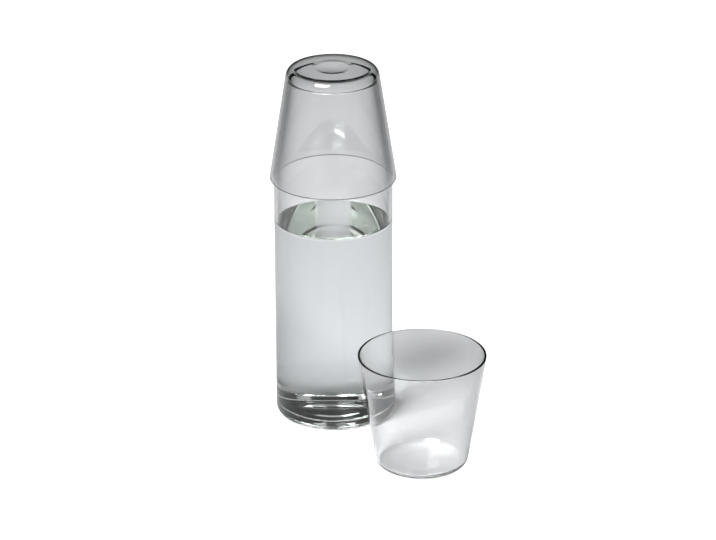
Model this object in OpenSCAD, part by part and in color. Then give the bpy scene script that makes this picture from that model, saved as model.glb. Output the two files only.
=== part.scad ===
// Bedside carafe of clear glass with its tumbler turned over the neck as a lid,
// filled with water, and a second tumbler of the same shape standing beside it.
// Origin: middle of the face that the carafe stands on. +Z is up, -Y is the front.

/* [Carafe] */
// Outer diameter of the straight body
body_d = 79.6; // [70:0.2:88]
// Height at which the shoulder starts to turn in
shoulder_h = 174.8; // [140:0.2:210]
// Radius of the soft shoulder between body and neck
shoulder_r = 12; // [4:0.5:20]
// Height of the neck, from where the shoulder starts up to the top of the mouth
neck_h = 65.5; // [50:0.1:80]
// Thickness of the carafe's wall, and so of its rounded lip
carafe_wall = 2.4; // [1.6:0.1:3.2]
// Radius of the rounded heel outside
heel_r = 5; // [3:0.1:9]
// Radius of the corner between floor and wall inside
floor_r = 7; // [4:0.5:12]
// Thickness of the floor above the standing face
floor_t = 5; // [4:0.5:14]
// Depth of the hollow under the base
punt_h = 1.5; // [0.8:0.1:3]
// Diameter of the hollow under the base where it meets the standing face
punt_d = 32; // [20:1:60]

/* [Tumblers] */
// How far a tumbler's rim stands out beyond the carafe's body, on the radius
rim_overhang = 2.7; // [2.1:0.1:5]
// How much narrower a tumbler's flat base is than its rim, on the diameter
tumbler_taper = 34.8; // [28:0.2:44]
// How much taller a tumbler is than the neck that it covers
tumbler_extra = 12.7; // [10:0.1:20]
// Radius of the rounded corner between base and wall outside
corner_r = 6.2; // [4:0.1:9]
// Radius of the corner between floor and wall inside
inner_corner_r = 4.4; // [2.5:0.1:7]
// Thickness of the tumbler wall, and so of its rounded rim
tumbler_wall = 1.6; // [1.2:0.1:2]
// Thickness of the tumbler floor
tumbler_floor = 2; // [1.6:0.1:4]
// Depth of the hollow under a tumbler
dimple_h = 0.4; // [0.3:0.1:1]
// Diameter of the hollow under a tumbler
dimple_d = 28; // [12:1:40]
// Height of the soft rise in the middle of a tumbler's floor
rise_h = 0.75; // [0.4:0.05:1.2]
// Diameter of the soft rise in the middle of a tumbler's floor
rise_d = 24; // [16:1:36]

/* [Water] */
// How far the water surface is below the height at which the shoulder starts
water_drop = 33.6; // [20:0.2:120]

/* [How the pieces stand] */
// Distance of the second tumbler to the right of the carafe
beside_x = 58.4; // [56:0.2:120]
// Distance of the second tumbler in front of the carafe
beside_y = 85.8; // [70:0.2:140]
// Gap between the lid tumbler and the shoulder that it sits on
seat_gap = 0.3; // [0.2:0.05:0.5]
// Gap between the lid tumbler and the mouth, so that the neck never jams in it
mouth_gap = 0.6; // [0.3:0.05:1.5]
// Film between the water and the glass
water_gap = 0.1; // [0.05:0.01:0.2]

/* [Hidden] */
$fn = 128;
// How far a cut runs past the face that it opens
overrun = 1;

body_r = body_d / 2;
carafe_h = shoulder_h + neck_h;
water_h = shoulder_h - water_drop;
rim_r = body_r + rim_overhang;
base_r = rim_r - tumbler_taper / 2;
tumbler_h = neck_h + tumbler_extra;

// The unit vector at an angle in degrees, counted from the radial direction.
function dir(angle) = [cos(angle), sin(angle)];

// The angle of the normal shared by two circles, seen from the first to the second,
// of a straight line that touches both from outside: how a straight wall joins two curves.
function touch_angle(c1, r1, c2, r2) =
    let(step = c2 - c1) atan2(step.y, step.x) - acos((r1 - r2) / norm(step));

// Tumbler, standing: the wall is a cone between the rounded corner and the rounded rim.
rim_edge_r = tumbler_wall / 2;
rim_c = [rim_r - rim_edge_r, tumbler_h - rim_edge_r];
corner_c = [base_r, corner_r];
wall_normal = touch_angle(corner_c, corner_r, rim_c, rim_edge_r);
wall_dir = dir(wall_normal);
wall_foot = corner_c + corner_r * wall_dir;
rim_outside = rim_c + rim_edge_r * wall_dir;
rim_inside = rim_c - rim_edge_r * wall_dir;
inner_corner_h = tumbler_floor + inner_corner_r;
inner_corner_x = (rim_inside * wall_dir - inner_corner_r - inner_corner_h * wall_dir.y)
    / wall_dir.x;
inner_corner_c = [inner_corner_x, inner_corner_h];
inner_wall_foot = inner_corner_c + inner_corner_r * wall_dir;

// Turned over, the lid slides down until its inner cone meets the soft shoulder.
// lid_rim_h is the height of its rim, which then points down.
shoulder_c = [body_r - shoulder_r, shoulder_h];
seat_normal = dir(-wall_normal);
seat_line = shoulder_c * seat_normal + shoulder_r + seat_gap;
lid_rim_h = (seat_line - rim_inside.x * seat_normal.x) / seat_normal.y
    - (tumbler_h - rim_inside.y);

// The lip is placed inside the lid's cone, clear of it by mouth_gap. The neck is the cone
// that touches the shoulder's curve and the lip's, so it follows the lid's wall closely.
lip_r = carafe_wall / 2;
lip_h = carafe_h - lip_r;
lip_x = (seat_line - mouth_gap - lip_r - lip_h * seat_normal.y) / seat_normal.x;
lip_c = [lip_x, lip_h];
neck_normal = touch_angle(shoulder_c, shoulder_r, lip_c, lip_r);
lip_inside = lip_c - lip_r * dir(neck_normal);

// A shallow dome of the given width and height: a hollow under a base, or a rise on a floor.
module dome_profile(width, height) {
    ball_r = (width * width / 4 + height * height) / (2 * height);
    translate([0, height - ball_r]) circle(r = ball_r);
}

// Everything to the right of the axis, as high as the tallest piece.
module right_half() {
    translate([0, -carafe_h]) square([body_d, carafe_h * 3]);
}

// The carafe's outline as a filled shape, drawn smaller by an inset all round.
// The floor stands at floor_z and meets the wall in a corner of radius corner.
module carafe_outline(inset, floor_z, corner) {
    side = body_r - inset;
    turn = shoulder_c + (shoulder_r - inset) * dir(neck_normal);
    neck_end = lip_c + (lip_r - inset) * dir(neck_normal);
    translate([0, floor_z]) square([side - corner, shoulder_h - floor_z]);
    translate([0, floor_z + corner]) square([side, shoulder_h - floor_z - corner]);
    translate([side - corner, floor_z + corner]) circle(r = corner);
    intersection() {
        translate(shoulder_c) circle(r = shoulder_r - inset);
        polygon([shoulder_c, [side, shoulder_h], [side, turn.y], turn]);
    }
    polygon([[0, shoulder_h], shoulder_c, turn, neck_end, [0, neck_end.y]]);
}

// The carafe's hollow, from its floor up, smaller by a film where water fills it.
module carafe_hollow(film) {
    carafe_outline(carafe_wall + film, floor_t + film, floor_r);
}

// The way through the lip, which the hollow ends just short of.
module mouth_opening() {
    translate([0, shoulder_h]) square([lip_inside.x, carafe_h - shoulder_h + overrun]);
}

// The carafe is one piece of blown glass: floor, straight body, soft shoulder, cone neck, lip.
module carafe() {
    color([0.80, 0.88, 0.86, 0.45])
    rotate_extrude()
    intersection() {
        right_half();
        union() {
            difference() {
                carafe_outline(0, 0, heel_r);
                carafe_hollow(0);
                mouth_opening();
                dome_profile(punt_d, punt_h);
            }
            translate(lip_c) circle(r = lip_r);
        }
    }
}

module water() {
    color([0.72, 0.84, 0.88, 0.5])
    rotate_extrude()
    intersection() {
        square([body_d, water_h]);
        carafe_hollow(water_gap);
    }
}

// Half of a tumbler's section, standing on its base.
module tumbler_profile() {
    intersection() {
        right_half();
        union() {
            difference() {
                union() {
                    polygon([[0, 0], [base_r, 0], corner_c, wall_foot, rim_outside, rim_inside, [0, rim_inside.y]]);
                    translate(corner_c) circle(r = corner_r);
                }
                difference() {
                    polygon([
                        [0, tumbler_floor],
                        [inner_corner_x, tumbler_floor],
                        inner_corner_c,
                        inner_wall_foot,
                        rim_inside,
                        [rim_inside.x, tumbler_h + overrun],
                        [0, tumbler_h + overrun]
                    ]);
                    translate([0, tumbler_floor]) dome_profile(rise_d, rise_h);
                }
                translate(inner_corner_c) circle(r = inner_corner_r);
                dome_profile(dimple_d, dimple_h);
            }
            translate(rim_c) circle(r = rim_edge_r);
        }
    }
}

module tumbler() {
    color([0.86, 0.92, 0.93, 0.4]) rotate_extrude() tumbler_profile();
}

module lid_tumbler() {
    translate([0, 0, lid_rim_h + tumbler_h]) rotate([180, 0, 0]) tumbler();
}

module second_tumbler() {
    translate([beside_x, -beside_y, 0]) tumbler();
}

carafe();
water();
lid_tumbler();
second_tumbler();
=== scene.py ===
# %% [markdown]
# # A bedside carafe of clear glass, its lid tumbler, a second tumbler, and water
#
# Clear glass has almost no colour of its own. What the eye reads as glass is the room
# seen through it and mirrored in it, so three things decide this picture: walls of a true
# thickness, edges that are all rounded, and a pale table and a dark room to bend.
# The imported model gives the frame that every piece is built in. Its unit is the metre.

# %% Load the frame
import math

import bmesh
import bpy
from mathutils import Matrix, Vector


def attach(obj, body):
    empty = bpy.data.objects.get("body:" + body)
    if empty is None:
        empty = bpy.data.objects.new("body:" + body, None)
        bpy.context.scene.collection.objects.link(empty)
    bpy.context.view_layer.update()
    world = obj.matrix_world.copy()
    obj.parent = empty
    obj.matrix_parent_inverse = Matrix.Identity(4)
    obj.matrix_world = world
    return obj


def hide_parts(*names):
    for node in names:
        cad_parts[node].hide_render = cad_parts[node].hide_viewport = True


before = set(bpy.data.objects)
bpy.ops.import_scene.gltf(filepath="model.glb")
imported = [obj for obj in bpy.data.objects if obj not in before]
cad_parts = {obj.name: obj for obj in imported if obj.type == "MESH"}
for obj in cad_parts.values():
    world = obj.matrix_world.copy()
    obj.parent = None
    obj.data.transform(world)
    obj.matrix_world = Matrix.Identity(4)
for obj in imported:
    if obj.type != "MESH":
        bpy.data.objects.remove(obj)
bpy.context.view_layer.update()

# %% [markdown]
# ## The camera
#
# The photograph looks down on the set from the front through a long lens, so the
# carafe's sides stay almost parallel. A camera can be keyed in by its corner values, but
# it is easier to reason about as a tripod: what it aims at, how far away it stands and
# how steeply it looks down. The small roll is the tilt that the picture itself has.

# %% Put a thing into the scene
def add_object(name, data):
    thing = bpy.data.objects.new(name, data)
    bpy.context.scene.collection.objects.link(thing)
    return thing

# %% Place the camera
MM = 0.001
PICTURE_WIDTH = 716
LENS_IN_PIXELS = 4000
SENSOR_WIDTH = 36.0
NEAREST_SEEN = 0.05
FARTHEST_SEEN = 50
CAMERA_PITCH = math.radians(23.07)
CAMERA_ROLL = math.radians(-0.2)
CAMERA_DISTANCE = 2742.2 * MM
CAMERA_AIM = Vector((16.4, 36.8, 86.4)) * MM

camera_data = bpy.data.cameras.new("camera")
camera_data.sensor_width = SENSOR_WIDTH
camera_data.lens = LENS_IN_PIXELS / PICTURE_WIDTH * SENSOR_WIDTH
camera_data.clip_start = NEAREST_SEEN
camera_data.clip_end = FARTHEST_SEEN
camera = add_object("camera", camera_data)
tilt = Matrix.Rotation(math.pi / 2 - CAMERA_PITCH, 4, "X")
turn = tilt @ Matrix.Rotation(CAMERA_ROLL, 4, "Z")
line_of_sight = turn.to_3x3() @ Vector((0, 0, -1))
camera.matrix_world = Matrix.Translation(CAMERA_AIM - line_of_sight * CAMERA_DISTANCE) @ turn
bpy.context.scene.camera = camera
print("the camera stands at", [round(x, 3) for x in camera.matrix_world.translation])

# %% [markdown]
# ## Drawing with sharp corners, then rounding them
#
# All four pieces are round about a vertical axis, so each is drawn as half of its section
# and turned once round. An outline is easiest to think about with sharp corners, where two
# straight walls would meet. Glass has no such corner: the fire polishes each edge into a
# curve. So every corner carries the radius that it is rounded to, and a vertex bevel does
# the rounding, as a glassmaker's flame does. A bevel is measured along the two lines, so
# the radius is turned into that length with the corner's angle.

# %% Round one corner of a section
DEGREES_PER_STEP = 6
FEWEST_STEPS = 4

def round_corner(section, corner, radius):
    one_way, other_way = [edge.other_vert(corner).co - corner.co for edge in corner.link_edges]
    half_angle = one_way.angle(other_way) / 2
    bend = 180 - 2 * math.degrees(half_angle)
    bmesh.ops.bevel(
        section, geom=[corner], affect="VERTICES", offset_type="OFFSET",
        offset=radius * MM / math.tan(half_angle),
        segments=max(FEWEST_STEPS, round(bend / DEGREES_PER_STEP)),
        profile=0.5, material=-1, clamp_overlap=False)

# %% [markdown]
# Smooth shading blends the direction of a face over its whole width. Next to a tight curve
# a long straight wall would look bent, and glass shows that at once. Sharp edges or
# weighted normals could hide it, but a glass edge is neither sharp nor faceted. So each
# long line gets a point close to both of its ends, which keeps the blend short, and a few
# between.

# %% Keep long straight lines straight
CLOSE_TO_END = 0.4
LONGEST_STEP = 6

def hold_long_lines(section):
    long_lines = [edge for edge in section.edges if edge.calc_length() > 4 * CLOSE_TO_END * MM]
    for line in long_lines:
        start, end = line.verts
        rest, first = bmesh.utils.edge_split(line, start, CLOSE_TO_END * MM / line.calc_length())
        longer = max(line, rest, key=lambda edge: edge.calc_length())
        rest, last = bmesh.utils.edge_split(longer, end, CLOSE_TO_END * MM / longer.calc_length())
        middle = next(edge for edge in first.link_edges if last in edge.verts)
        cuts = int(middle.calc_length() / (LONGEST_STEP * MM))
        if cuts:
            bmesh.ops.subdivide_edges(section, edges=[middle], cuts=cuts)

# %% Draw a section from its corners
DRAWN_AS_ONE = 0.004

def draw_section(corners):
    section = bmesh.new()
    points = [section.verts.new((radius * MM, 0, height * MM)) for radius, height, _ in corners]
    for pair in zip(points, points[1:]):
        section.edges.new(pair)
    for point, (_, _, rounding) in zip(points, corners):
        if rounding:
            round_corner(section, point, rounding)
    bmesh.ops.remove_doubles(section, verts=section.verts, dist=DRAWN_AS_ONE * MM)
    hold_long_lines(section)
    return section

# %% Turn a section once round the axis
STEPS_ROUND = 256
TURNED_AS_ONE = 0.002

def turn_section(section):
    bmesh.ops.spin(
        section, geom=section.verts[:] + section.edges[:], cent=(0, 0, 0), axis=(0, 0, 1),
        angle=math.tau, steps=STEPS_ROUND, use_merge=True, use_duplicate=False)
    bmesh.ops.remove_doubles(section, verts=section.verts, dist=TURNED_AS_ONE * MM)
    bmesh.ops.recalc_face_normals(section, faces=section.faces)
    return section

# %% Make a finished piece of a turned shape
def finish_piece(name, shape):
    for face in shape.faces:
        face.smooth = True
    mesh = bpy.data.meshes.new(name)
    shape.to_mesh(mesh)
    shape.free()
    width, depth, height = [
        round((max(along) - min(along)) / MM, 2) for along in zip(*[v.co for v in mesh.vertices])]
    print(name, len(mesh.polygons), "faces,", width, "by", depth, "by", height, "mm")
    return add_object(name, mesh)

# %% [markdown]
# ## The tumbler
#
# A tumbler is pressed or blown in one piece: a thin floor, a plain cone for a wall and a
# rim melted round. It could be shaped from a cylinder, ring by ring, but a turned section
# keeps the wall's thickness true everywhere. The wall isn't given by an angle. It is the
# straight line that touches the curve at the foot and the curve of the rim, so it flows
# into both without a crease. Under the floor is a shallow round hollow, which lets it
# stand on a ring, not on a bulge. The tool that pushes the hollow up also raises the
# middle of the floor inside. Seen from above through the lid, that soft rise draws the
# small smile in the middle of its top.

# %% Sizes of a tumbler, in millimetres
BODY_RADIUS = 39.8
RIM_OVERHANG = 2.7
RIM_RADIUS = BODY_RADIUS + RIM_OVERHANG
BASE_INSET = 17.4
BASE_RADIUS = RIM_RADIUS - BASE_INSET
NECK_HEIGHT = 65.5
TALLER_THAN_NECK = 12.7
TUMBLER_HEIGHT = NECK_HEIGHT + TALLER_THAN_NECK
TUMBLER_WALL = 1.6
TUMBLER_FLOOR = 2
FOOT_ROUND = 6.2
INNER_FOOT_ROUND = 4.4
RIM_ROUND = TUMBLER_WALL / 2
DIMPLE_RADIUS = 14
DIMPLE_DEPTH = 0.4
RISE_RADIUS = 12
RISE_HEIGHT = 0.75
print("a tumbler is", 2 * RIM_RADIUS, "mm wide and", TUMBLER_HEIGHT, "mm tall")

# %% The line that touches two curves
def touch_angle(centre_1, radius_1, centre_2, radius_2):
    along, up = centre_2[0] - centre_1[0], centre_2[1] - centre_1[1]
    return math.atan2(up, along) - math.acos((radius_1 - radius_2) / math.hypot(along, up))

class WallLine:
    """A straight wall in the section: its normal's angle, and how far along it the wall lies."""

    def __init__(self, normal, centre, radius):
        self.normal = normal
        self.offset = centre[0] * math.cos(normal) + centre[1] * math.sin(normal) + radius

    def inside(self, thickness):
        return WallLine(self.normal, (0, 0), self.offset - thickness)

    def radius_at(self, height):
        return (self.offset - height * math.sin(self.normal)) / math.cos(self.normal)

foot_centre = (BASE_RADIUS, FOOT_ROUND)
rim_centre = (RIM_RADIUS - RIM_ROUND, TUMBLER_HEIGHT - RIM_ROUND)
tumbler_lean = touch_angle(foot_centre, FOOT_ROUND, rim_centre, RIM_ROUND)
tumbler_outside = WallLine(tumbler_lean, foot_centre, FOOT_ROUND)
tumbler_inside = tumbler_outside.inside(TUMBLER_WALL)
print("the tumbler's wall leans out by", round(-math.degrees(tumbler_lean), 2), "degrees")

# %% [markdown]
# A hollow under a base is a shallow dome, and so is the rise on a floor. Neither needs a
# formula of its own: each is one more corner, rounded so far that the bend begins on the
# axis and ends where the dome meets the flat ring. The same helper serves the carafe.

# %% Corners of a shallow dome, from its middle outwards
def dome_corners(radius, height, level=0):
    ball = (radius * radius + height * height) / (2 * height)
    top = level + height
    return [(0, top, 0), (ball * height / radius, top, ball), (radius, level, 0)]

# %% Draw the tumbler's section
def tumbler_corners():
    rise = dome_corners(RISE_RADIUS, RISE_HEIGHT, TUMBLER_FLOOR)
    return dome_corners(DIMPLE_RADIUS, DIMPLE_DEPTH) + [
        (tumbler_outside.radius_at(0), 0, FOOT_ROUND),
        (tumbler_outside.radius_at(TUMBLER_HEIGHT), TUMBLER_HEIGHT, RIM_ROUND),
        (tumbler_inside.radius_at(TUMBLER_HEIGHT), TUMBLER_HEIGHT, RIM_ROUND),
        (tumbler_inside.radius_at(TUMBLER_FLOOR), TUMBLER_FLOOR, INNER_FOOT_ROUND),
    ] + rise[::-1]

print("the tumbler's section has", len(tumbler_corners()), "corners")

# %% [markdown]
# ## The second tumbler
#
# It stands beside the carafe, to the right and nearer to the camera. The shape is turned
# on the axis first and moved to its place as a mesh, so that the object itself stays at
# the origin, which is where the frame expects every piece.

# %% Turn the second tumbler and move it to its place
BESIDE = Vector((58.4, -85.8, 0)) * MM
shape = turn_section(draw_section(tumbler_corners()))
bmesh.ops.translate(shape, verts=shape.verts, vec=BESIDE)
second_tumbler = finish_piece("second_tumbler_glass", shape)

# %% [markdown]
# ## The lid tumbler
#
# The same tumbler is turned over the neck. It slides down until the cone inside it meets
# the soft shoulder of the carafe, so its height isn't chosen: it follows from the two
# shapes. A hair's breadth is left between the glasses, as dust and the two surfaces'
# unevenness leave in life. It also keeps their refractions apart.

# %% Find where the lid comes to rest
SHOULDER_HEIGHT = 174.8
SHOULDER_ROUND = 12
SEAT_GAP = 0.3
shoulder_centre = (BODY_RADIUS - SHOULDER_ROUND, SHOULDER_HEIGHT)
lid_inside = WallLine(-tumbler_lean, shoulder_centre, SHOULDER_ROUND + SEAT_GAP)
rim_inside = (rim_centre[0] - RIM_ROUND * math.cos(tumbler_lean),
              rim_centre[1] - RIM_ROUND * math.sin(tumbler_lean))
across = lid_inside.offset - rim_inside[0] * math.cos(tumbler_lean)
seat_height = across / math.sin(-tumbler_lean)
LID_TOP = seat_height + rim_inside[1]
print("the lid's rim rests at", round(LID_TOP - TUMBLER_HEIGHT, 2), "mm")
print("the lid's top is at", round(LID_TOP, 2), "mm")

# %% Turn the lid tumbler over
shape = turn_section(draw_section(tumbler_corners()))
half_turn = Matrix.Rotation(math.pi, 3, "X")
bmesh.ops.rotate(shape, verts=shape.verts, cent=(0, 0, 0), matrix=half_turn)
bmesh.ops.translate(shape, verts=shape.verts, vec=(0, 0, LID_TOP * MM))
lid_tumbler = finish_piece("lid_tumbler_glass", shape)

# %% [markdown]
# ## The carafe
#
# The carafe is blown: one gather of glass makes the floor, the straight body, the soft
# shoulder and the neck. The neck is a cone that follows the lid's wall and stays clear of
# it, so it is drawn as the line that touches the shoulder's curve and the lip's. The base
# is thicker than the walls, with a hollow pushed up in its middle, and that hollow is what
# shows as a pale oval at the bottom of the water. Its outside and inside could be two
# surfaces with a Solidify modifier between them, but one closed section lets the floor be
# thicker than the wall.

# %% Sizes of the carafe, in millimetres
CARAFE_WALL = 2.4
HEEL_ROUND = 5
INNER_HEEL_ROUND = 7
CARAFE_FLOOR = 5
PUNT_RADIUS = 16
PUNT_DEPTH = 1.5
MOUTH_GAP = 0.6
CARAFE_HEIGHT = SHOULDER_HEIGHT + NECK_HEIGHT
LIP_ROUND = CARAFE_WALL / 2
inner_radius = BODY_RADIUS - CARAFE_WALL
print("the carafe is", 2 * BODY_RADIUS, "mm wide and", round(CARAFE_HEIGHT, 1), "mm tall")

# %% Set the neck inside the lid
lip_line = lid_inside.inside(MOUTH_GAP + LIP_ROUND)
lip_height = CARAFE_HEIGHT - LIP_ROUND
lip_centre = (lip_line.radius_at(lip_height), lip_height)
neck_lean = touch_angle(shoulder_centre, SHOULDER_ROUND, lip_centre, LIP_ROUND)
neck_outside = WallLine(neck_lean, lip_centre, LIP_ROUND)
neck_inside = neck_outside.inside(CARAFE_WALL)
shoulder_tip = SHOULDER_HEIGHT + SHOULDER_ROUND * math.tan(neck_lean / 2)
inner_round = SHOULDER_ROUND - CARAFE_WALL
inner_tip = SHOULDER_HEIGHT + inner_round * math.tan(neck_lean / 2)
print("the mouth is", round(2 * (lip_centre[0] + LIP_ROUND), 2), "mm across")
print("the neck leans in by", round(math.degrees(neck_lean), 2), "degrees")

# %% Turn the carafe
WATER_DROP = 33.6
WATERLINE = SHOULDER_HEIGHT - WATER_DROP
carafe_corners = dome_corners(PUNT_RADIUS, PUNT_DEPTH) + [
    (BODY_RADIUS, 0, HEEL_ROUND),
    (BODY_RADIUS, shoulder_tip, SHOULDER_ROUND),
    (neck_outside.radius_at(CARAFE_HEIGHT), CARAFE_HEIGHT, LIP_ROUND),
    (neck_inside.radius_at(CARAFE_HEIGHT), CARAFE_HEIGHT, LIP_ROUND),
    (inner_radius, inner_tip, inner_round),
    (inner_radius, WATERLINE, 0),
    (inner_radius, CARAFE_FLOOR, INNER_HEEL_ROUND),
    (0, CARAFE_FLOOR, 0),
]
carafe = finish_piece("carafe_glass", turn_section(draw_section(carafe_corners)))

# %% [markdown]
# ## The water
#
# Water climbs a clean glass wall by a millimetre or two. That small curve all round, the
# meniscus, catches the light and draws the bright line at the water's edge, so it is worth
# its own corner in the section. The water could share the carafe's inner faces, but then
# neither would be a closed shape, and each piece has to stand as a mesh of its own. So a
# film's breadth is left between water and glass.

# %% Turn the water
FILM = 0.1
MENISCUS_HEIGHT = 1.7
MENISCUS_WIDTH = 0.35
MENISCUS_ROUND = 2.2
water_radius = inner_radius - FILM
water_corners = [
    (0, CARAFE_FLOOR + FILM, 0),
    (water_radius, CARAFE_FLOOR + FILM, INNER_HEEL_ROUND),
    (water_radius, WATERLINE, 0),
    (water_radius - MENISCUS_WIDTH, WATERLINE - MENISCUS_HEIGHT, MENISCUS_ROUND),
    (0, WATERLINE - MENISCUS_HEIGHT, 0),
]
water = finish_piece("water_fill", turn_section(draw_section(water_corners)))

# %% [markdown]
# ## What makes glass look like glass
#
# Blown glass is never quite flat. Its walls carry long shallow waves, drawn out along the
# height when the piece was stretched. They are far too low to see as shape, but they bend
# what is behind them, and that is what separates a carafe from a clean computer drawing of
# one. All the glass shares this, so it is a node group that puts out one height, and each
# material feeds it to its own Bump node with its own strength.

# %% Helpers for building node trees
def add_socket(group, name, direction, kind, value=None):
    socket = group.interface.new_socket(name=name, in_out=direction, socket_type=kind)
    if value is not None:
        socket.default_value = value

def add_node(tree, kind, **settings):
    node = tree.nodes.new("ShaderNode" + kind)
    for name, value in settings.items():
        setattr(node, name, value)
    return node

def add_math(tree, operation, second=None):
    node = add_node(tree, "Math", operation=operation)
    if second is not None:
        node.inputs[1].default_value = second
    return node

def group_outputs(group):
    return [item.name for item in group.interface.items_tree if item.in_out == "OUTPUT"]

# %% Node group for the waves in blown glass
WAVES_PER_METRE = 45.0
DRAWN_OUT = 0.2
waves = bpy.data.node_groups.new("blown_glass_waves", "ShaderNodeTree")
add_socket(waves, "Waves per metre", "INPUT", "NodeSocketFloat", WAVES_PER_METRE)
add_socket(waves, "Drawn out", "INPUT", "NodeSocketFloat", DRAWN_OUT)
add_socket(waves, "Height", "OUTPUT", "NodeSocketFloat")
inside = waves.nodes.new("NodeGroupInput")
outside = waves.nodes.new("NodeGroupOutput")
place = add_node(waves, "TexCoord")
stretch = add_node(waves, "CombineXYZ")
stretch.inputs["X"].default_value = 1
stretch.inputs["Y"].default_value = 1
drawn = add_node(waves, "VectorMath", operation="MULTIPLY")
noise = add_node(waves, "TexNoise")
noise.inputs["Detail"].default_value = 1.0
noise.inputs["Roughness"].default_value = 0.4
waves.links.new(inside.outputs["Drawn out"], stretch.inputs["Z"])
waves.links.new(place.outputs["Object"], drawn.inputs[0])
waves.links.new(stretch.outputs["Vector"], drawn.inputs[1])
waves.links.new(drawn.outputs["Vector"], noise.inputs["Vector"])
waves.links.new(inside.outputs["Waves per metre"], noise.inputs["Scale"])
waves.links.new(noise.outputs["Fac"], outside.inputs["Height"])
print("group", waves.name, "puts out", group_outputs(waves))

# %% [markdown]
# Glass made from ordinary sand has a trace of grey-green, which shows only where light has
# a long way to go through it: in the thick foot and round the bends. Volume absorption
# would give this exactly, but it is slow and noisy and isn't kept by an export. A clear
# surface can take its colour from the light that passes it instead, so the tint is a
# surface colour that is a little deeper near a foot and fades out above it. The group is
# given both colours and both heights, and because only heights decide, the lid can have
# its thick floor at the top. The same fade is put out once more as a mask, which is 1 on
# the wall and 0 at the foot.

# %% Node group for the tint of thick glass
# On the carafe the Thick colour is partly painted shade, which deepens the dark base.
TINT_FADE = 10 * MM
tint = bpy.data.node_groups.new("thick_glass_tint", "ShaderNodeTree")
add_socket(tint, "Foot height", "INPUT", "NodeSocketFloat", 0.0)
add_socket(tint, "Fade height", "INPUT", "NodeSocketFloat", TINT_FADE)
add_socket(tint, "Thin", "INPUT", "NodeSocketColor", (1, 1, 1, 1))
add_socket(tint, "Thick", "INPUT", "NodeSocketColor", (0.95, 1.0, 0.98, 1))
add_socket(tint, "Colour", "OUTPUT", "NodeSocketColor")
add_socket(tint, "Wall", "OUTPUT", "NodeSocketFloat")
inside = tint.nodes.new("NodeGroupInput")
outside = tint.nodes.new("NodeGroupOutput")
place = add_node(tint, "TexCoord")
split = add_node(tint, "SeparateXYZ")
fade = add_node(tint, "MapRange", interpolation_type="SMOOTHSTEP")
blend = add_node(tint, "Mix", data_type="RGBA")
tint.links.new(place.outputs["Object"], split.inputs["Vector"])
tint.links.new(split.outputs["Z"], fade.inputs["Value"])
tint.links.new(inside.outputs["Foot height"], fade.inputs["From Min"])
tint.links.new(inside.outputs["Fade height"], fade.inputs["From Max"])
tint.links.new(fade.outputs["Result"], blend.inputs["Factor"])
tint.links.new(inside.outputs["Thick"], blend.inputs["A"])
tint.links.new(inside.outputs["Thin"], blend.inputs["B"])
tint.links.new(blend.outputs["Result"], outside.inputs["Colour"])
tint.links.new(fade.outputs["Result"], outside.inputs["Wall"])
print("group", tint.name, "puts out", group_outputs(tint))

# %% [markdown]
# ## Clear glass
#
# Each clear finish could be a material of its own, made by hand, but then they would drift
# apart as one of them is changed. So one builder makes them all. Only what differs is
# passed in: how strongly it bends light, its colour where it is thin and where it is thick,
# how wavy it is, and between which heights the thick colour fades into the thin one.

# %% Builder for the clear materials
def clear_material(name, bends, thin, thick, wave_depth, foot_height=0.0, fade_height=12 * MM):
    material = bpy.data.materials.new(name)
    material.use_nodes = True
    tree = material.node_tree
    shader = tree.nodes["Principled BSDF"]
    shader.inputs["Roughness"].default_value = 0.0
    shader.inputs["IOR"].default_value = bends
    shader.inputs["Transmission Weight"].default_value = 1.0
    wavy = add_node(tree, "Group", node_tree=waves)
    bump = add_node(tree, "Bump")
    bump.inputs["Strength"].default_value = 1.0
    bump.inputs["Distance"].default_value = wave_depth * MM
    tree.links.new(wavy.outputs["Height"], bump.inputs["Height"])
    tree.links.new(bump.outputs["Normal"], shader.inputs["Normal"])
    colour = add_node(tree, "Group", node_tree=tint, name="tint")
    colour.inputs["Thin"].default_value = (*thin, 1)
    colour.inputs["Thick"].default_value = (*thick, 1)
    colour.inputs["Foot height"].default_value = foot_height
    colour.inputs["Fade height"].default_value = fade_height
    tree.links.new(colour.outputs["Colour"], shader.inputs["Base Color"])
    return material

# %% [markdown]
# The outline of a clear glass is drawn by its wall seen at a slant. There light has the
# longest way through the glass, and there the glass mirrors and bends the dark room. This
# outline is painted shade: a darker Base Color where the wall is seen at a slant, partly
# for the longer way through the glass and partly for the dark room it shows. A Layer
# Weight node knows how slanted the view is. Raised to a power, that number stays near
# nothing over most of the wall and climbs at the outline, where it blends in the painted
# grey. The higher the power, the thinner the line: the carafe's neck, which shows as a
# crisp line inside the lid, has the third power, and the tumblers have the second. The mask
# from the tint keeps the painted line off the thick foot, which is dark enough by itself.

# %% Paint a shaded outline onto a clear material
def paint_outline_shade(material, painted_outline, sharpness):
    tree = material.node_tree
    colour = tree.nodes["tint"]
    slant = add_node(tree, "LayerWeight")
    steep = add_math(tree, "POWER", sharpness)
    on_wall = add_math(tree, "MULTIPLY")
    outline_shade_mix = add_node(tree, "Mix", data_type="RGBA")
    # painted shade: the outline's grey is blended into the Base Color where the wall is seen at a
    # slant
    outline_shade_mix.inputs["B"].default_value = (*painted_outline, 1)
    tree.links.new(slant.outputs["Facing"], steep.inputs[0])
    tree.links.new(steep.outputs["Value"], on_wall.inputs[0])
    tree.links.new(colour.outputs["Wall"], on_wall.inputs[1])
    tree.links.new(on_wall.outputs["Value"], outline_shade_mix.inputs["Factor"])
    tree.links.new(colour.outputs["Colour"], outline_shade_mix.inputs["A"])
    tree.links.new(outline_shade_mix.outputs["Result"], tree.nodes["Principled BSDF"].inputs["Base Color"])
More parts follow.
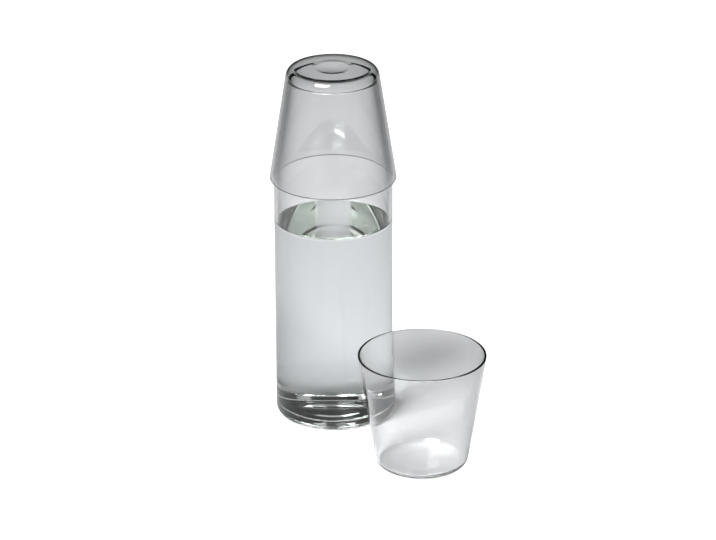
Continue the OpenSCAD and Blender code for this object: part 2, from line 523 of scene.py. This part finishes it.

# %% [markdown]
# The carafe has two kinds of glass outside. Above the water it is nearly colourless. The
# wall round the water is darker, and darkest at its foot. That colour is partly the tint
# that the long way through glass and water gives, and partly painted shade: it deepens the
# grey of the water and the dark base. It sits only on the outer face, which a ray passes
# once on its way in and once on its way out. Light that wanders between the inner faces,
# up to the water's surface, keeps its brightness, and so the surface sparkles. These
# colours aren't measured: they are fitted to the greys of the photograph. Both tumblers are
# the same glass on the real set, but the lid looks greyer there, so it has a deeper grey,
# which is painted shade.

# %% Glass for the carafe
GLASS_BENDS = 1.5
CARAFE_THIN = (0.987, 0.99, 0.992)
# partly tint, partly painted shade: the filled wall and its foot are darker than the glass above
# the water
FILLED_WALL_TINT_AND_SHADE = (0.815, 0.818, 0.855)
CARAFE_FOOT_TINT_AND_SHADE = (0.79, 0.805, 0.775)
FOOT_TINTED_TO = 4 * MM
FOOT_FADES_BY = 14 * MM
NECK_WAVES = 0.06
BODY_WAVES = 0.03
# painted shade: these outline greys are blended in where the glass is seen at a slant
OUTLINE_PAINTED_SHADE = (0.26, 0.27, 0.27)
NECK_OUTLINE_PAINTED_SHADE = (0.0, 0.0, 0.0)
carafe_glass = clear_material(
    "carafe_clear_glass", GLASS_BENDS, CARAFE_THIN, CARAFE_THIN, NECK_WAVES)
filled_wall = clear_material(
    "carafe_filled_wall_glass", GLASS_BENDS, FILLED_WALL_TINT_AND_SHADE, CARAFE_FOOT_TINT_AND_SHADE, BODY_WAVES,
    FOOT_TINTED_TO, FOOT_FADES_BY)
paint_outline_shade(carafe_glass, NECK_OUTLINE_PAINTED_SHADE, sharpness=3)
paint_outline_shade(filled_wall, OUTLINE_PAINTED_SHADE, sharpness=2)
print("glass for the carafe:", carafe_glass.name, "and", filled_wall.name)

# %% Glass for the tumblers
# painted shade: the lid's thin colour is greyer than the second tumbler's, though both are one
# glass
LID_THIN_SHADED = (0.957, 0.958, 0.96)
TUMBLER_THIN = (0.998, 0.998, 0.999)
TUMBLER_THICK = (0.975, 0.98, 0.977)
LID_FLOOR_FADE = 4
LID_WAVES = 0.09
SECOND_WAVES = 0.02
lid_glass = clear_material(
    "lid_clear_glass", GLASS_BENDS, LID_THIN_SHADED, TUMBLER_THICK, LID_WAVES,
    LID_TOP * MM, (LID_TOP - LID_FLOOR_FADE) * MM)
second_glass = clear_material(
    "second_clear_glass", GLASS_BENDS, TUMBLER_THIN, TUMBLER_THICK, SECOND_WAVES)
for material in (lid_glass, second_glass):
    paint_outline_shade(material, OUTLINE_PAINTED_SHADE, sharpness=2)
print("glass for the tumblers:", lid_glass.name, "and", second_glass.name)

# %% [markdown]
# ## Where water touches glass
#
# Where glass meets water, light hardly bends, because the two are so alike. A renderer that
# is told "glass" and then "water" treats both as if air lay between, and mirrors far too
# much. So the wetted inside of the carafe has its own glass, with the bend of glass against
# water, 1.5 over 1.333, and the water's sides and bottom bend nothing at all. Only the
# water's free surface keeps the full bend of water against air.

# %% Wetted glass and water
WATER_BENDS = 1.333
WETTED = (0.984, 1.0, 0.984)
SURFACE_WAVES = 0.004
wetted_glass = clear_material(
    "carafe_wetted_glass", GLASS_BENDS / WATER_BENDS, WETTED, WETTED, BODY_WAVES)
water_surface = clear_material("water_surface", WATER_BENDS, WETTED, WETTED, SURFACE_WAVES)
water_against_glass = clear_material("water_against_glass", 1.0, WETTED, WETTED, 0.0)
print("wetted glass bends light", round(GLASS_BENDS / WATER_BENDS, 3))

# %% Tell the kinds of face apart
JUST_BELOW = 0.01
JUST_OUTSIDE = 0.1
FACES_UP = 0.05

def is_wetted(face):
    middle = face.center / MM
    at_water = CARAFE_FLOOR - JUST_BELOW < middle.z < WATERLINE
    return at_water and middle.xy.length < inner_radius + JUST_OUTSIDE

def is_filled_wall(face):
    middle = face.center / MM
    return middle.z < WATERLINE and middle.xy.length > BODY_RADIUS - HEEL_ROUND

# %% Put the materials on the pieces
for material in (carafe_glass, wetted_glass, filled_wall):
    carafe.data.materials.append(material)
for face in carafe.data.polygons:
    face.material_index = 1 if is_wetted(face) else 2 if is_filled_wall(face) else 0
for material in (water_surface, water_against_glass):
    water.data.materials.append(material)
for face in water.data.polygons:
    face.material_index = 0 if face.normal.z > FACES_UP else 1
lid_tumbler.data.materials.append(lid_glass)
second_tumbler.data.materials.append(second_glass)
for kind, material in enumerate(carafe.data.materials):
    count = sum(face.material_index == kind for face in carafe.data.polygons)
    print(material.name, "covers", count, "faces of the carafe")

# %% Tell the frame which solid each piece stands for
for piece, body, node, slot in (
        (carafe, "carafe_body", "carafe", "carafe_glass"),
        (water, "carafe_body", "water", "water"),
        (lid_tumbler, "lid_body", "lid_tumbler", "lid_tumbler_glass"),
        (second_tumbler, "second_tumbler_body", "second_tumbler", "second_tumbler_glass")):
    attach(piece, body)
    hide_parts(node)
    print(piece.name, "rides on", body)

# %% [markdown]
# ## The table
#
# The set stands on plain pale paper that the picture shows as pure white. Through the
# glass, the same paper is a soft grey, which gives the glass its tone. So the paper is a
# pale grey that only the camera's own view lifts to white. The paper lies a hair below the
# glass, because two real surfaces touch at a few points only, and the air between them
# mirrors the room in the base.

# %% Lay the table
TABLE_REACH = 6
STAGE_DROP = 0.05
paper = bmesh.new()
bmesh.ops.create_grid(paper, x_segments=1, y_segments=1, size=TABLE_REACH)
bmesh.ops.translate(paper, verts=paper.verts, vec=(0, 0, -STAGE_DROP * MM))
table_mesh = bpy.data.meshes.new("table")
paper.to_mesh(table_mesh)
paper.free()
table = add_object("table", table_mesh)
print("the table reaches", TABLE_REACH, "m to each side")

# %% [markdown]
# The paper's colour is painted darker far away, as painted shade where no studio lamp
# reaches, and sooner to the sides than behind the set, as a strip of studio paper is lit:
# its dark sides are what the edges of clear glass bend into view, and what draws their
# outlines. Close to the horizon it has a painted glow, which stands for a pale lit wall
# behind the table, so that a low view through the glass stays clear. Both follow from one
# number, the distance from the set, in which a metre to the side counts for more than a
# metre behind.

# %% Measure how far the paper is from the set
SIDEWAYS_COUNTS = 1.8
BEHIND_COUNTS = 0.7
paper_material = bpy.data.materials.new("pale_paper")
paper_material.use_nodes = True
tree = paper_material.node_tree
shader = tree.nodes["Principled BSDF"]
shader.inputs["Roughness"].default_value = 0.9
shader.inputs["Specular IOR Level"].default_value = 0.0
shader.inputs["Emission Color"].default_value = (1, 1, 1, 1)
place = add_node(tree, "TexCoord")
strip = add_node(tree, "VectorMath", operation="MULTIPLY")
strip.inputs[1].default_value = (SIDEWAYS_COUNTS, BEHIND_COUNTS, 1)
distance = add_node(tree, "VectorMath", operation="LENGTH")
tree.links.new(place.outputs["Object"], strip.inputs[0])
tree.links.new(strip.outputs["Vector"], distance.inputs[0])
table_mesh.materials.append(paper_material)
print("paper material", paper_material.name)

# %% Paper painted darker far away, with a painted glow, and lifted to white for the camera
PAPER = 0.86
# painted shade: the paper's colour is painted darker far from the set
FAR_PAPER_PAINTED_SHADE = 0.24
DARK_AT = 1.5
GLOW_FROM = 1.3
GLOW_FULL_AT = 3.0
# painted glow: the far paper glows near the horizon, standing for a pale lit wall
PAINTED_HORIZON_GLOW = 0.38
CAMERA_LIFT = 0.62
ray = add_node(tree, "LightPath")
fade = add_node(tree, "MapRange")
fade.inputs["From Max"].default_value = DARK_AT
fade.inputs["To Min"].default_value = PAPER
fade.inputs["To Max"].default_value = FAR_PAPER_PAINTED_SHADE
painted_glow = add_node(tree, "MapRange")
painted_glow.inputs["From Min"].default_value = GLOW_FROM
painted_glow.inputs["From Max"].default_value = GLOW_FULL_AT
painted_glow.inputs["To Max"].default_value = PAINTED_HORIZON_GLOW
seen = add_math(tree, "MULTIPLY", PAPER)
pale = add_math(tree, "MAXIMUM")
lift = add_math(tree, "MULTIPLY", CAMERA_LIFT)
shine = add_math(tree, "ADD")
tree.links.new(distance.outputs["Value"], fade.inputs["Value"])
tree.links.new(distance.outputs["Value"], painted_glow.inputs["Value"])
tree.links.new(ray.outputs["Is Camera Ray"], seen.inputs[0])
tree.links.new(ray.outputs["Is Camera Ray"], lift.inputs[0])
tree.links.new(fade.outputs["Result"], pale.inputs[0])
tree.links.new(seen.outputs["Value"], pale.inputs[1])
tree.links.new(pale.outputs["Value"], shader.inputs["Base Color"])
tree.links.new(lift.outputs["Value"], shine.inputs[0])
tree.links.new(painted_glow.outputs["Result"], shine.inputs[1])
tree.links.new(shine.outputs["Value"], shader.inputs["Emission Strength"])
print("the paper fades from", PAPER, "to", FAR_PAPER_PAINTED_SHADE)

# %% [markdown]
# ## The light
#
# The main lamp hangs high at the front left. It is out of the way of the glass's mirror
# directions, so the walls stay free of large reflections, and it sends the shadow back to
# the right, where the second tumbler shows it. It is far away, so the paper near the set is
# lit evenly. A second lamp, very wide and dim, stands for a white ceiling: the thick base
# mirrors it as a blue-grey oval with a pale arc above. The rest of the room is almost dark,
# and so is the rest of the base.

# %% Hang the lamps
LAMP_COLOUR = (0.98, 0.985, 1.0)

def soft_lamp(name, width, place, aim, watts):
    data = bpy.data.lights.new(name, "AREA")
    data.shape = "RECTANGLE"
    data.size = data.size_y = width
    data.energy = watts
    data.color = LAMP_COLOUR
    lamp = add_object(name, data)
    lamp.location = place
    lamp.rotation_euler = (Vector(aim) - Vector(place)).to_track_quat("-Z", "Y").to_euler()
    print(name, "hangs at", place, "with", watts, "watts")

soft_lamp("main_lamp", width=1.7, place=(-1.22, -1.56, 3.2), aim=(0, 0, 0.1), watts=172)
soft_lamp("wide_lamp", width=5.5, place=(0.6, 0.0, 4.2), aim=(0.6, 0, 0), watts=53)

# %% Darken the room
ROOM_COLOUR = (0.9, 0.96, 0.92, 1)
ROOM_BRIGHTNESS = 0.015
room = bpy.data.worlds.new("dark_room")
room.use_nodes = True
background = room.node_tree.nodes["Background"]
background.inputs["Color"].default_value = ROOM_COLOUR
background.inputs["Strength"].default_value = ROOM_BRIGHTNESS
bpy.context.scene.world = room
print("the room's brightness is", ROOM_BRIGHTNESS)

# %% [markdown]
# Light that crosses the lid and the carafe passes eight or more faces, and each pass counts
# as a bounce. With too few bounces the deepest parts of the glass turn black, so many are
# allowed. Clamping and blurred reflections would save time, but they take away the sparkle.

# %% Let light pass through many walls
GLASS_BOUNCES = 32
MIRROR_BOUNCES = 16
PAPER_BOUNCES = 4
scene = bpy.context.scene
scene.view_settings.view_transform = "Standard"
scene.cycles.max_bounces = GLASS_BOUNCES
scene.cycles.transmission_bounces = GLASS_BOUNCES
scene.cycles.glossy_bounces = MIRROR_BOUNCES
scene.cycles.diffuse_bounces = PAPER_BOUNCES
scene.cycles.sample_clamp_indirect = 0
scene.cycles.blur_glossy = 0
print("light may pass", GLASS_BOUNCES, "faces")
